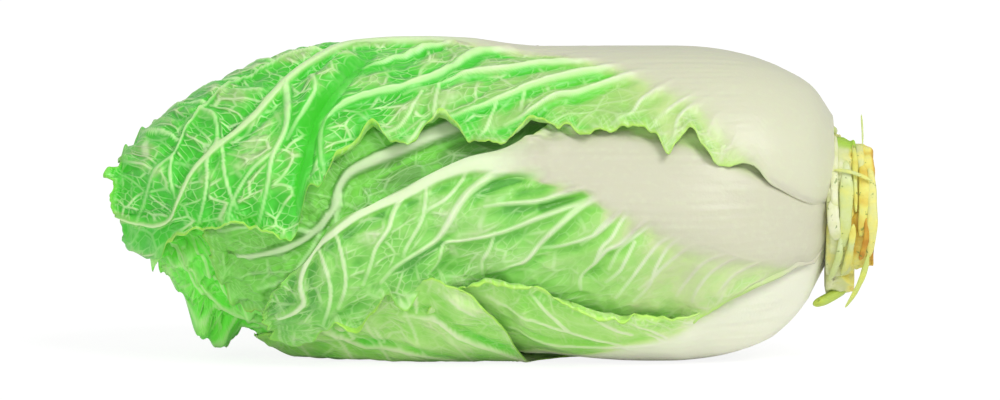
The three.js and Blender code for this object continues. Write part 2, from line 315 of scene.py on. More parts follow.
def shell_faces(rows, columns):
    """Faces of a closed sheet. Its points are a fine grid whose outermost ring is turned under the
    edge, then a back grid BACK_STEP times wider; larger faces join the ring to the back."""
    fine = np.arange((rows + 3) * (columns + 3)).reshape(rows + 3, columns + 3)
    back_shape = rows // BACK_STEP - 1, columns // BACK_STEP - 1
    back = np.arange(np.prod(back_shape)).reshape(back_shape) + fine.size
    quads = np.stack([fine[:-1, :-1], fine[:-1, 1:], fine[1:, 1:], fine[1:, :-1]], -1)
    backs = np.stack([back[:-1, :-1], back[1:, :-1], back[1:, 1:], back[:-1, 1:]], -1)
    faces = quads.reshape(-1, 4).tolist() + backs.reshape(-1, 4).tolist()
    rings = [ring.tolist() for ring in (fine[0, -2:0:-1], fine[1:-1, 0], fine[-1, 1:-1], fine[-2:0:-1, -1])]
    edges = [edge.tolist() for edge in (back[0, ::-1], back[:, 0], back[-1], back[::-1, -1])]
    corners = fine[[0, -1, -1, 0], [0, 0, -1, -1]].tolist()
    for k, (ring, edge) in enumerate(zip(rings, edges)):
        for j in range(len(edge) - 1):
            start = (j + 1) * BACK_STEP
            faces.append([*ring[start:start + BACK_STEP + 1], edge[j + 1], edge[j]])
        following = rings[(k + 1) % 4]
        faces.append([*ring[-BACK_STEP - 1:], corners[k], *following[:BACK_STEP + 1], edge[-1]])
    return faces


def make_mesh(name, points, faces, attributes=()):
    """A smooth mesh object from points in mm; attributes are (name, a value or vector a point)."""
    mesh = bpy.data.meshes.new(name)
    mesh.from_pydata((points * MM).tolist(), [], faces)
    mesh.polygons.foreach_set("use_smooth", np.ones(len(faces), bool))
    for key, values in attributes:
        kind, part = ("FLOAT", "value") if values.ndim == 1 else ("FLOAT_VECTOR", "vector")
        layer = mesh.attributes.new(key, kind, "POINT")
        layer.data.foreach_set(part, values.ravel().astype(np.float32))
    mesh.update()
    piece = bpy.data.objects.new(name, mesh)
    bpy.context.scene.collection.objects.link(piece)
    return piece


# A blade is made about 1 mm thick, its relief goes no deeper than 3.2 mm, and its end at the butt
# tucks 2.4 mm further in, behind the stubs
BLADE_THICKNESS = 1.0
DEEPEST_RELIEF = 3.2
BUTT_TUCK = 2.4
# The blade's folds lean forwards by 32 degrees from the midrib and are 1.9 times as long as wide
FOLD_LEAN, FOLD_STRETCH = 32, 1.9


def grow_leaf(name, rows, columns, petiole, veins, midrib=None, green=(0.3, 1.0), white=(20, 65), cut=None,
              tips=(), curls=(), creases=(), frill=2.0, crinkle=1.0, crisp=0.0, netting=1.0, mesh_size=7.0,
              low_share=0.5, first_rows=(0.045, 0.13), upper=1.0, seed=1):
    """A leaf as a closed sheet. Across it v runs from the low margin (-1) by the midrib (0) to the
    high one (1), and down it u runs from base to tip. Its depth is where the leaf lies, less its
    relief: a raised petiole and midrib, round veins with a valley beside them, folds, ruffled
    margins, lips that curl over and creases. Lengths are in mm:
    petiole: (x, half width) of the stalk and midrib; midrib: its places, if not the stations'
    veins: (width, places); cut: (side, places) of the real margin, where the stations are plainer
    tips: (v, width in v, length) of lobes on the tip's edge
    curls: (side, x from, x to, radius) of a margin that rolls over
    creases: (width, rise, step, places), the step a rise that stays on one side of the line
    green: tone at the base and the tip; white: how far from the base the stalk's white fades
    frill, crinkle, crisp: how strong the margin's waves, the folds and the tip's crumples are
    netting, mesh_size: how strong the net of small veins is, and how wide its cells are
    low_share: share of the columns below the midrib; first_rows: share of the rows spent on the
    first share of the length; upper: half width of the stalk above the midrib, against below."""
    leaf = LEAVES[name]
    stations = leaf["stations"]

    # the grid, close at the base and at the part that shows, and the tip's edge with its lobes
    share, reached = first_rows
    knots = (0, 4 / rows, 4 / rows + share, 1)
    down = np.interp(np.linspace(0, 1, rows + 1), knots, (0, 0.004, reached, 1))
    across = np.interp(np.linspace(0, 1, columns + 1), (0, low_share, 1), (-1, 0, 1))
    u, v = np.meshgrid(down, across, indexing="ij")
    base, tip = stations[0][0], stations[-1][0]
    tip_edge = tip + leaf["bow"] * v**2
    tip_places = np.stack([v * 60, np.full_like(v, 7.0)], -1)
    tip_edge += frill * 0.7 * u**6 * (ripple(tip_places, 11, seed) + 0.6 * ripple(tip_places, 4.3, seed + 1))
    for at, wide, far in tips:
        tip_edge -= far * bell(v - at, wide)
    x = base + (tip_edge - base) * u
    from_base = base - x

    # the margins: those of the stations, then the real one where it is given, then waves and teeth
    middle = along(stations, 2, x)
    even = np.where(v < 0, along(stations, 1, x), along(stations, 3, x))
    margin, free, cut_side = even, np.ones_like(x), np.zeros_like(x)
    if cut:
        line = np.array(sorted(cut[1:]), float).T
        first, last = line[0, [0, -1]]
        cut_side = v * cut[0] > 0
        follow = cut_side * between(x, first, first + 8, last - 8, last)
        real = np.mean([np.interp(x + step, *line) for step in (-1.6, -0.8, 0, 0.8, 1.6)], 0)
        margin = even + (real - even) * follow
        free = 1 - 0.75 * follow
    edge_places = np.stack([x, np.where(v < 0, 0.0, 40.0)], -1)
    degree = np.radians(1) * np.maximum(head_radius(x, margin), 8)
    leafy = smooth(from_base, 20, 70) * smooth(np.abs(even - middle) * degree, 5, 14)
    teeth = 0.7 * ripple(edge_places, 5, seed + 3) + 0.4 * ripple(edge_places, 2.4, seed + 14)
    waves = ripple(edge_places, 12, seed + 2) * free + teeth * (0.75 + 0.25 * free)
    margin = margin + np.sign(v) * frill * leafy * waves / degree

    # the edge: how far inside it each point is, and where it rolls over as a lip
    side = np.abs(margin - middle) * np.radians(1) * head_radius(x, even)
    to_margin = (1 - np.abs(v)) * side
    inside = np.minimum(to_margin, (1 - u) * (base - tip_edge) * 0.8)
    roll = np.full_like(x, 1e-3)
    for rolled_side, low, high, size in curls:
        lip = size * between(x, low - 4, low + 5, high - 5, high + 4)
        roll = np.maximum(roll, lip * (v * rolled_side > 0))
    rolled = np.maximum(np.pi * roll - to_margin, 0)
    turned = rolled / roll
    bearing = middle + (even - middle) * np.abs(v) + (margin - even) * smooth(np.abs(v), 0.3, 1)
    bearing = bearing - np.sign(v) * (rolled - roll * np.sin(turned)) / degree
    depth, hidden = lie(name, x, bearing)
    points = head_point(x, bearing, depth).reshape(-1, 3)

    # distances: from the midrib and from the veins, and places on the outline laid flat
    way = curve(midrib or [station[::2] for station in stations], 60)
    rib = to_line(points, on_head(name, way))[0].reshape(x.shape)
    above = bearing - np.interp(x, *way[::-1].T)
    upper_side = smooth(above, -4, 4)
    half = np.interp(x, *np.array(petiole[::-1], float).T)
    half = half * (1 - (1 - upper) * smooth(above, 0, 4) * smooth(half, 8, 14))
    fields = vein_field(name, points, bearing.ravel(), veins)
    height, pale, clear, valley = (field.reshape(x.shape) for field in fields)
    clear = np.minimum(clear, np.maximum(rib - half, 0))
    places = unrolled(x, bearing)

    # relief, outwards; the folds lean forwards from the midrib on either side
    stalk = 1 - smooth(rib, half * 0.8, half * 1.2 + 0.5)
    off_stalk = 1 - stalk
    raised = np.minimum(0.75 * half, 2.2) * np.maximum(1 - (rib / (half * 1.2 + 1)) ** 2, 0)
    ribs = 0.16 * stalk * smooth(half, 5, 12) * ripple(places * (0.03, 1), 2.6, seed + 4)
    blade = off_stalk * smooth(inside, 0, 3)
    mature = smooth(from_base, 40, 190)
    beside = off_stalk * (1 - smooth(half, 3, 6)) * bell(rib - half - 2.5, 2.5) * mature
    valley = np.maximum(valley * off_stalk, 0.8 * beside)
    grains, folds = [], 0
    for lean, weight in ((FOLD_LEAN, 1 - upper_side), (-FOLD_LEAN, upper_side)):
        c, s = np.cos(np.radians(lean)), np.sin(np.radians(lean))
        grain = places @ np.array([[c / FOLD_STRETCH, -s], [s / FOLD_STRETCH, c]])
        folds = folds + weight * (1.2 * ripple(grain, 13, seed + 9) + 0.8 * ripple(grain, 5.5, seed + 10))
        grains.append(grain)
    grain = np.where(upper_side[..., None] < 0.5, *grains)
    folds += 0.35 * ripple(places, 4, seed + 11)
    folds *= crinkle * off_stalk * (0.4 + 0.8 * mature)
    crumple = ripple(places, 7, seed + 21) + 0.7 * ripple(places, 3.6, seed + 22)
    crumple *= crisp * off_stalk * smooth(u, 0.6, 0.85)
    ruffle = (0.6 + 1.5 * ripple(places, 9, seed + 12)) * np.exp(-inside / 7)
    ruffle += 0.7 * ripple(edge_places, 6, seed + 15) * np.exp(-inside / 4)
    ruffle *= frill * leafy
    bulge = 0.9 * blade * smooth(clear, 0, 4) * (0.5 + 0.5 * mature)
    relief = raised + height * (1 - 0.95 * stalk) - 1.7 * valley - bulge + folds + crumple + ruffle + ribs
    relief -= 3.0 * np.exp(-inside / 6) * (1 - smooth(from_base, 15, 60))

    # creases: a fold or a ridge along a line, and a step that ends in a shelf on one side of it; a narrow
    # fold's groove is also painted a deeper green, with its pale veins and net faded, as painted shade
    groove_shade = np.zeros_like(x)
    for width, rise, step, *crease in creases:
        line = unrolled(*curve(crease, 6 * len(crease)).T)
        d, share = (field.reshape(x.shape) for field in to_line(places.reshape(-1, 2), line))
        ends = between(share, 0, 0.4, 0.8, 1)
        k = np.minimum((share * (len(line) - 1)).astype(int), len(line) - 2)
        ahead, away = line[k + 1] - line[k], places - line[k]
        left = np.sign(ahead[..., 0] * away[..., 1] - ahead[..., 1] * away[..., 0])
        shelf = step * smooth(-left * d, -0.6 * width, 0.6 * width) * bell(d, 16)
        relief += ends * (rise * bell(d, width) + shelf)
        if width < 10:
            groove_shade = np.maximum(groove_shade, ends * bell(d, width) * np.clip(-rise / 3, 0, 1))
    covered = 1 - 0.9 * hidden
    off_floor = 0.2 + 0.8 * smooth(points[:, 2].reshape(x.shape), 2, 14)
    tuck = BUTT_TUCK * (1 - smooth(from_base, 0, 9))
    relief = np.maximum(relief, -DEEPEST_RELIEF) * covered * off_floor + roll * (1 - np.cos(turned)) - tuck

    # the sheet: its outer side has the whole relief, its back the large forms only
    lobe = 0.85 * leaf.get("lobe", 0) * np.exp(-(((x + 110) / 11) ** 4)) * smooth(-v, 0, 0.5)
    thick = BLADE_THICKNESS + (leaf["petiole"] - leaf["blade"]) * (1 - u) ** 1.5 * (1 - v**2)
    wide = [np.pad(part, 1, "edge") for part in (x, bearing, depth - lobe - relief)]
    wide[2] += np.pad(np.zeros_like(x), 1, constant_values=BLADE_THICKNESS)
    outer = head_point(*wide)
    quiet = (raised + folds + crumple + ruffle) * covered - tuck
    back_depth = depth - lobe - quiet + thick + 0.5 * smooth(inside, 0, 4)
    coarse = (slice(BACK_STEP, -BACK_STEP, BACK_STEP),) * 2
    back = head_point(x[coarse], bearing[coarse], back_depth[coarse])

    # colour: green 0 is the white petiole and 1 the deepest green, which also carries painted shade in pits,
    # valleys and creases; pale marks the veins, the stalk, the margin's comb and painted highlights on fold
    # crests, and lime a fresh edge
    tone = green[0] * (0.2 + 0.8 * smooth(from_base, *white))
    tone += (green[1] - green[0]) * smooth(from_base, 60, 230)
    slim = 0.75 * smooth(-half, -8, -2)
    beyond = rib + 4 * smooth(clear, 0.5, 3.5) - 2
    tone = tone * (slim + (1 - slim) * smooth(beyond, half * 0.9, half * 1.3 + 3))
    # painted shade and highlight: the pits and the valleys beside thick veins are painted a deeper green, and
    # the fold crests a lighter one; the 15 mm ripple is the leaf's own uneven tone
    shade = 0.1 * bulge + 0.4 * valley - 0.16 * folds + 0.12 * ripple(places, 15, seed + 13)
    hem = between(from_base, 12, 40, 110, 150) * cut_side
    tone += blade * (shade + 0.26 * hem * bell(inside, 8)) + 0.48 * groove_shade
    slant = edge_places + inside[..., None] * (0.5, 0.12)
    comb = bell(ripple(slant, 3.2, seed + 16), 0.13) * leafy * smooth(side, 14, 24)
    comb *= 0.55 * between(inside, 0.2, 1.0, 5, 10)
    # painted highlight: the tops of the folds and crumples, with fine specks, are painted pale like the veins
    crest_highlight = folds + 0.6 * crumple + 0.7 * ripple(places, 1.9, seed + 18)
    crest_highlight = 0.55 * blade * mature * smooth(crest_highlight, 0.4, 2.0)
    paleness = np.max([pale, stalk, comb, crest_highlight], axis=0) * (1 - 0.8 * groove_shade)
    fresh = leafy * np.maximum(0.4 * np.exp(-inside / 0.8), 0.8 * smooth(turned, 1.0, 2.2))
    yellow = 0.2 * off_stalk * (1 - smooth(from_base, white[1] - 20, white[1] + 40))
    lime = np.max([fresh, yellow, 0.7 * hem * bell(inside, 2.4)], axis=0)
    patch = smooth(ripple(places, 11, seed + 17), -0.45, 0.35)
    threads = netting * blade * smooth(clear, 0, 1.5) * (0.2 + 0.8 * mature) * (0.35 + 0.65 * patch)
    threads = np.maximum(threads, 0.6 * hem * blade * bell(inside, 10))
    threads *= np.clip(1 - 1.5 * groove_shade, 0, 1) * np.abs(2 * upper_side - 1)
    bend = np.stack([ripple(places, 17, seed + 5), ripple(places, 17, seed + 6)], -1)
    chart = np.pad((grain + 2.5 * bend) / mesh_size + seed, [(0, 0), (0, 0), (0, 1)])

    attributes = []
    for key, field in dict(green=tone, pale=paleness, lime=lime, threads=threads, chart=chart).items():
        padded = np.pad(field, [(1, 1), (1, 1), (0, 0)][:field.ndim], "edge")
        parts = [part.reshape(-1, *field.shape[2:]) for part in (padded, field[coarse])]
        attributes.append((key, np.concatenate(parts)))
    sheet = np.concatenate([outer.reshape(-1, 3), back.reshape(-1, 3)])
    piece = make_mesh(name + "_skin", sheet, shell_faces(rows, columns), attributes)
    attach(piece, "root")
    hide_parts(name)
    return piece


def linear(code):
    """An sRGB hex colour as linear red, green, blue and alpha."""
    c = np.array([int(code[i:i + 2], 16) for i in (1, 3, 5)]) / 255
    return (*np.where(c < 0.04045, c / 12.92, ((c + 0.055) / 1.055) ** 2.4), 1)


def new_material(name):
    """An empty material and its node tree."""
    material = bpy.data.materials.new(name)
    material.use_nodes = True
    material.node_tree.nodes.clear()
    return material, material.node_tree


def add(tree, kind, links=(), stops=(), **settings):
    """Adds a shader node, with its settings by name, a ramp's stops as (place, colour), and its
    inputs as (input, source): a value, an output, or a node, which stands for its first output."""
    node = tree.nodes.new("ShaderNode" + kind)
    for key, value in settings.items():
        setattr(node, key, value)
    for k, (at, code) in enumerate(stops):
        stop = node.color_ramp.elements[k] if k < 2 else node.color_ramp.elements.new(at)
        stop.position, stop.color = at, linear(code)
    for key, value in links:
        if isinstance(value, bpy.types.Node):
            value = value.outputs[0]
        if isinstance(value, bpy.types.NodeSocket):
            tree.links.new(value, node.inputs[key])
        else:
            node.inputs[key].default_value = value
    return node


def leaf_material(name, blade, vein):
    """Leaf tissue under its cuticle, a soft waxy gloss: the blade's and the veins' colours each run
    from the petiole to the tip by the leaf's own `green`, which also carries painted shade; `pale`
    says where a vein is and also where a painted highlight lies on a fold's top, `lime` a fresh
    edge, and `threads` how strong the net of small veins is, drawn as the borders of cells in the
    leaf's own `chart`. A noise scale is 1000 over its size in mm: 420 is 2.4 mm, 24 is 42 mm."""
    material, tree = new_material(name)
    green, pale, edge, strong = [
        add(tree, "Attribute", attribute_name=key).outputs["Fac"]
        for key in ("green", "pale", "lime", "threads")]
    chart = add(tree, "Attribute", attribute_name="chart").outputs["Vector"]
    place = add(tree, "TexCoord").outputs["Object"]

    # the net: thin lines at two scales, about 8 and 3 mm, and wider banks along them, which stand
    # up, so that the cells between them look pressed in like pillows
    lines, banks = [], []
    for scale, width, share in ((1.0, 0.082, 0.95), (2.7, 0.1, 0.62)):
        border = add(tree, "TexVoronoi", [("Vector", chart), ("Scale", scale)],
                     feature="DISTANCE_TO_EDGE", voronoi_dimensions="2D")
        for parts, start, end, most in ((lines, 0.015, width, share), (banks, 0.0, 0.3, 0.7 / scale)):
            part = add(tree, "MapRange", [("Value", border), (1, start), (2, end), (3, most), (4, 0.0)],
                       interpolation_type="SMOOTHSTEP")
            parts.append(add(tree, "Math", [(0, part), (1, strong)], operation="MULTIPLY"))
    net = add(tree, "Math", [(0, lines[0]), (1, lines[1])], operation="MAXIMUM")
    veiny = add(tree, "Math", [(0, pale), (1, net)], operation="MAXIMUM")
    bank = add(tree, "Math", [(0, banks[0]), (1, banks[1])], operation="ADD")

    # the tissue: mottled in 2.4 mm spots and in streaks 42 mm long, and paler on the net's raised banks, a
    # painted highlight
    mottle = add(tree, "TexNoise", [("Vector", place), ("Scale", 420.0), ("Detail", 3.0)])
    stretch = add(tree, "Mapping", [("Vector", place), ("Scale", (24.0, 420.0, 420.0))])
    streaks = add(tree, "TexNoise", [("Vector", stretch), ("Scale", 1.0), ("Detail", 3.0)])
    uneven = add(tree, "Math", [(0, mottle), (1, streaks)], operation="ADD")
    shift = add(tree, "Math", [(0, uneven), (1, 0.15), (2, -0.15)], operation="MULTIPLY_ADD")
    tone = add(tree, "Math", [(0, green), (1, shift)], operation="ADD")
    paler = add(tree, "Math", [(0, bank), (1, -0.22), (2, tone)], operation="MULTIPLY_ADD")
    green_ramp, vein_ramp = [add(tree, "ValToRGB", [("Fac", paler)], stops) for stops in (blade, vein)]
    fresh = add(tree, "Mix", [("Factor", edge), (6, green_ramp), (7, linear("#b6ec58"))], data_type="RGBA")
    mix = add(tree, "Mix", [("Factor", veiny), (6, fresh.outputs[2]), (7, vein_ramp)], data_type="RGBA")

    # the skin's own relief: the streaks and a grain of 1.1 mm, under the net's
    grain = add(tree, "TexNoise", [("Vector", place), ("Scale", 900.0), ("Detail", 2.0)])
    texture = add(tree, "Math", [(0, streaks), (1, grain)], operation="ADD")
    bump = add(tree, "Bump", [("Height", texture), ("Strength", 0.25), ("Distance", 0.0003)])
    relief = add(tree, "Bump", [("Height", bank), ("Strength", 1.0), ("Distance", 0.0012), ("Normal", bump)])
    skin = add(tree, "BsdfPrincipled", [
        ("Base Color", mix.outputs[2]), ("Roughness", 0.4), ("Specular IOR Level", 0.45),
        ("Subsurface Weight", 0.15), ("Subsurface Radius", (0.6, 1.0, 0.3)), ("Subsurface Scale", 0.002),
        ("Sheen Weight", 0.12), ("Sheen Roughness", 0.5), ("Normal", relief)])
    add(tree, "OutputMaterial", [("Surface", skin)])
    return material


# Waxy outer leaf: cool white stalk, then apple green, then a strong grass green with pale veins
OUTER_LEAF = leaf_material(
    "outer_leaf_cuticle",
    [(0, "#d4d5b5"), (1, "#42cc2a"), (0.2, "#cbe09c"), (0.42, "#aad27e"), (0.68, "#90d264"),
     (0.88, "#62d844")],
    [(0, "#d6d7bb"), (1, "#c4fca4"), (0.4, "#dcf0be"), (0.75, "#d0f6ac")])

top_leaf = grow_leaf(
    "leaf_top", 400, 220,
    petiole=[(134, 60), (110, 55), (84, 46), (60, 34), (44, 24), (22, 12), (0, 7), (-20, 4.2), (-40, 2.8),
             (-66, 1.8), (-96, 1.3), (-115, 0.9), (-127, 0.3), (-151, 0)],
    midrib=[(134, 68), (110, 80), (84, 86), (44, 90), (4, 91), (-30, 91), (-50, 86), (-65, 74), (-76, 64),
            (-83, 56), (-94, 42), (-108, 31), (-118, 19), (-124, 0), (-128, -16), (-138, -30), (-150, -40)],
    veins=[
        (3.6, (-62, 78), (-72, 79), (-83, 77), (-93, 74), (-103, 71), (-115, 59), (-121, 49),
         (-126, 32), (-134, 19), (-138, -11), (-141, -34)),
        (2.2, (-126, 33), (-127, 17), (-125, 2)),
        (4.0, (-81, 58), (-80, 42), (-81, 33), (-86, 23), (-88, 11), (-92, -6)),
        (3.0, (-108, 35), (-112, 25), (-112, 16), (-113, 5), (-116, -12)),
        (4.2, (-14, 88), (-36, 74), (-50, 64)),
        (5.2, (30, 86), (3, 81), (-9, 72), (-19, 62), (-32, 54), (-49, 49), (-60, 44), (-66, 37), (-67, 26),
         (-65, 16)),
        (4.6, (54, 76), (36, 70), (19, 69), (5, 63), (-9, 60), (-20, 55), (-34, 50)),
        (4.6, (60, 70), (36, 61), (19, 55), (4, 47), (-10, 41), (-21, 37)),
        (4.2, (66, 64), (36, 51), (25, 48), (14, 39), (6, 35)),
        (3.2, (86, 63), (70, 54), (60, 46), (56, 40), (48, 35)),
        (3.0, (96, 58), (80, 48), (72, 43), (66, 38)),
        (3.0, (98, 54), (86, 47), (75, 39), (73, 30)),
        (2.6, (106, 50), (94, 42), (89, 39), (86, 31)),
        (2.6, (116, 44), (99, 37), (97, 31), (90, 21)),
        (1.8, (-20, 55), (-22, 41), (-21, 35)),
        (1.8, (3, 47), (-1, 35), (-5, 29)),
        (1.6, (14, 53), (12, 41)),
        (1.8, (-26, 36), (-33, 26)),
        (1.8, (-27, 50), (-35, 35), (-43, 32)),
        (1.6, (-84, 26), (-90, 22), (-96, 16), (-102, 4), (-104, -8)),
        (2.0, (-106, 31), (-105, 18), (-103, 9), (-100, 2)),
        (1.8, (-72, 60), (-69, 50), (-72, 42), (-80, 30)),
        (1.6, (-101, 62), (-95, 58), (-88, 56)),
        (1.6, (-115, 58), (-110, 50), (-108, 40), (-109, 33)),
        (2.6, (-84, 78), (-98, 96), (-108, 118), (-112, 138)),
        (2.6, (-98, 74), (-112, 92), (-122, 112)),
        (2.2, (-112, 64), (-124, 84), (-132, 104)),
        (2.0, (-124, 44), (-134, 64), (-140, 84)),
        *side_veins("leaf_top", 1, 56, -66, 10, 11)],
    cut=(-1, (135, 0), (124, 6), (114, 12), (110, 14), (105, 21), (101, 22), (96, 20), (89, 20), (83, 29),
         (80, 35), (76, 32), (73, 27), (70, 21), (67, 30), (63, 33), (60, 34), (46, 33), (41, 31), (34, 31),
         (32, 37), (28, 34), (16, 34), (7, 27), (-7, 29), (-16, 33), (-20, 35), (-27, 33), (-31, 26),
         (-38, 28), (-45, 32), (-48, 31), (-51, 25), (-55, 22), (-60, 21), (-63, 16), (-66, 12.5),
         (-69, 12), (-72, 14), (-73.5, 6), (-75, -3), (-78, -8), (-85, -8), (-93, -9), (-101, -6),
         (-108, -11), (-118, -18), (-125, -25), (-131, -38), (-136, -56), (-141, -74), (-147, -90),
         (-155, -104)),
    tips=[(0.86, 0.07, 3), (0.5, 0.09, 4.5), (-0.4, 0.3, -3)],
    curls=[(-1, -64, -42, 1.5), (-1, -24, -12, 1.6), (-1, 8, 24, 1.0), (-1, -128, -84, 1.2)],
    creases=[(3.2, -3.0, 2.4, (-42, 84), (-48, 74), (-54, 64), (-59, 54), (-65, 45), (-69, 37), (-71, 29)),
             (2.4, -3.0, 1.6, (-60, 52), (-66, 42), (-70, 33), (-72, 23), (-74, 15), (-75, 8), (-76, -4)),
             (3.6, 2.6, 0, (-50, 84), (-58, 70), (-68, 54), (-76, 40), (-80, 26)),
             (18, 1.5, 0, (24, 90), (-6, 90), (-26, 90), (-46, 88), (-62, 85), (-76, 82)),
             (22, -2.6, 0, (134, 88), (110, 89), (70, 90), (30, 90), (-8, 90)),
             (7, 4.5, 0, (-120, -20), (-132, -40), (-146, -70), (-168, -100))],
    green=(0.45, 0.92), white=(36, 100), crinkle=0.95, frill=2.2, mesh_size=8.0, low_share=0.6, seed=20)
top_leaf.data.materials.append(OUTER_LEAF)

# ---------------------------------------------------------------- leaf front: the leaf on the near side
# It lies under the top leaf's margin, with its petiole along the near side. Thick veins leave the
# stalk in fingers with deep grooves between them and turn to a fine net in the blade, and its
# margins are frilled. It grows from the stem below the top leaf.

# Cuticle over a softer, cooler green than the top leaf's, under a greyer white stalk
FRONT_LEAF = leaf_material(
    "front_leaf_cuticle",
    [(0, "#cecdb3"), (1, "#58ac3e"), (0.2, "#cedca6"), (0.42, "#a8da80"), (0.68, "#8cd660"),
     (0.88, "#70c44c")],
    [(0, "#cfceb5"), (1, "#c8f2a8"), (0.34, "#e2f0c8"), (0.75, "#d4f2b4")])
front_leaf = grow_leaf(
    "leaf_front", 360, 224,
    petiole=[(137, 24), (120, 18), (110, 17), (100, 18), (80, 21), (61, 18), (44, 16.5), (36, 12),
             (28, 9.5), (17, 7), (4, 4.6), (-6, 3.2), (-20, 2.2), (-50, 1.4), (-61, 1.1), (-72, 0.8),
             (-80, 0.5), (-90, 0)],
    midrib=[(134, -9), (110, 0), (84, 9), (44, 22), (28, 22), (17, 23), (-3, 22), (-20, 17), (-33, 10),
            (-50, 3), (-61, -4), (-68, -10), (-72, -16), (-75, -25), (-74, -34), (-84, -44)],
    veins=[
        (3.4, (-30, 12), (-33, 10), (-38, 3), (-40, -3), (-45, -10), (-47, -16), (-50, -24)),
        (1.6, (-25, 13), (-26, 3), (-28, -2), (-33, -10), (-34, -13)),
        (1.8, (-2, 22), (-9, 18), (-11, 15), (-17, 8), (-24, 4), (-28, 0)),
        (5.4, (24, 23), (4, 18), (-6, 12), (-12, 6), (-20, -6), (-27, -11), (-37, -17), (-43, -23)),
        (4.4, (42, 14), (27, 9), (20, 7), (7, 6), (-2, 5)),
        (3.4, (44, 9), (28, 4), (17, 0), (4, -5), (-10, -8), (-18, -9), (-20, -16), (-24, -21)),
        (1.6, (2, -5), (0, -11), (-3, -17), (-3, -23)),
        (4.2, (46, 10), (36, 5), (26, -3), (20, -9), (14, -16), (7, -19), (0, -23)),
        (3.6, (58, 9), (52, 4), (43, -4), (37, -7), (27, -10), (20, -11)),
        (2.4, (62, 6), (51, 3), (44, -2), (40, -6), (36, -9)),
        (2.0, (66, 5), (55, 3), (48, -6), (44, -10), (41, -17), (38, -20)),
        (4.0, (68, 4), (61, 0), (52, -8), (46, -11), (41, -17), (36, -23), (36, -29)),
        (1.8, (57, -8), (53, -16), (51, -20), (46, -25)),
        (2.4, (76, 3), (66, 0), (57, -6), (51, -11), (47, -19)),
        (2.4, (80, -2), (67, -8), (59, -18), (56, -23), (50, -32)),
        (2.0, (84, -2), (72, -8), (66, -17), (63, -26), (57, -34)),
        (1.8, (88, -5), (79, -9), (69, -17), (64, -23), (59, -28)),
        (1.8, (94, -12), (84, -16), (77, -25), (74, -31)),
        (1.8, (98, -14), (88, -19), (82, -27), (80, -33)),
        (1.6, (106, -18), (96, -22), (90, -29)),
        (2.2, (76, -4), (85, -8), (92, -11), (100, -15), (112, -19)),
        (2.0, (-61, -4), (-58, -14), (-57, -24), (-60, -34)),
        (2.0, (-68, -10), (-64, -20), (-63, -30), (-66, -42)),
        *side_veins("leaf_front", 1, 70, 10, 5, 12)],
    cut=(-1, (128, -22), (119, -30), (102, -31), (92, -34), (84, -40), (76, -48), (60, -50), (30, -48),
         (15, -46), (6, -42), (0, -38), (-6, -38), (-12, -32), (-19, -28), (-25, -26), (-30, -33),
         (-36, -35), (-38, -31), (-42, -28), (-47, -39), (-54, -47), (-61, -42), (-66, -46), (-70, -52),
         (-80, -62)),
    tips=[(-1, 0.24, 5)],
    curls=[(-1, -60, -44, 1.2)],
    creases=[(2.4, -2.0, 0, (24, 17), (12, 16), (-2, 12)), (2.2, -2.0, 0, (34, 13), (20, 11), (8, 9)),
             (2.2, -1.8, 0, (44, 9), (30, 7), (18, 4))],
    green=(0.42, 0.72), white=(46, 96), crinkle=0.8, frill=2.1, netting=0.6, mesh_size=8.0, low_share=0.75,
    upper=0.72, seed=40)
front_leaf.data.materials.append(FRONT_LEAF)

# ---------------------------------------------------------------- leaf lower: the short leaf at the bottom
# A short outer leaf at the bottom of the near side. Its margin lies over the front leaf's in two
# frilled lobes, curled outwards, and its broad white stalk reaches the butt.

# Cuticle of the low leaves, a lighter copy as painted light from below: whiter stalks, and thin pale
# yellow-green blades
PAINTED_LIGHT_LEAF = leaf_material(
    "painted_light_leaf_cuticle",
    [(0, "#eff0da"), (1, "#66d83a"), (0.2, "#deefb0"), (0.42, "#bee88c"), (0.7, "#98de5e")],
    [(0, "#eff0dc"), (1, "#c6f4a2"), (0.4, "#e6f0c8"), (0.75, "#d8f2b4")])
lower_leaf = grow_leaf(
    "leaf_lower", 180, 144,
    petiole=[(134, 24), (104, 24), (80, 18), (56, 10), (36, 6), (16, 4), (-10, 2.5), (-38, 1)],
    veins=[
        (3.2, (90, -56), (76, -52), (48, -57), (25, -55), (8, -49)),
        (2.8, (60, -60), (44, -52), (30, -46), (11, -38), (-1, -31)),
        (2.4, (31, -46), (22, -35), (16, -28)),
        (2.2, (56, -48), (48, -44), (40, -37)),
        (2.2, (70, -50), (62, -44), (54, -40)),
        (2.6, (100, -54), (92, -50), (85, -45), (78, -42)),
        (2.2, (80, -55), (69, -52), (62, -47)),
        *side_veins("leaf_lower", -1, 70, -20, 5, 13)],
    cut=(1, (135, -18), (122, -22), (112, -25), (104, -27), (96, -33), (90, -38)),
    curls=[(1, 26, 56, 1.1), (1, -8, 16, 1.2)],
    green=(0.45, 0.62), white=(46, 92), crinkle=0.7, frill=1.6, netting=0.5, seed=60)
lower_leaf.data.materials.append(PAINTED_LIGHT_LEAF)

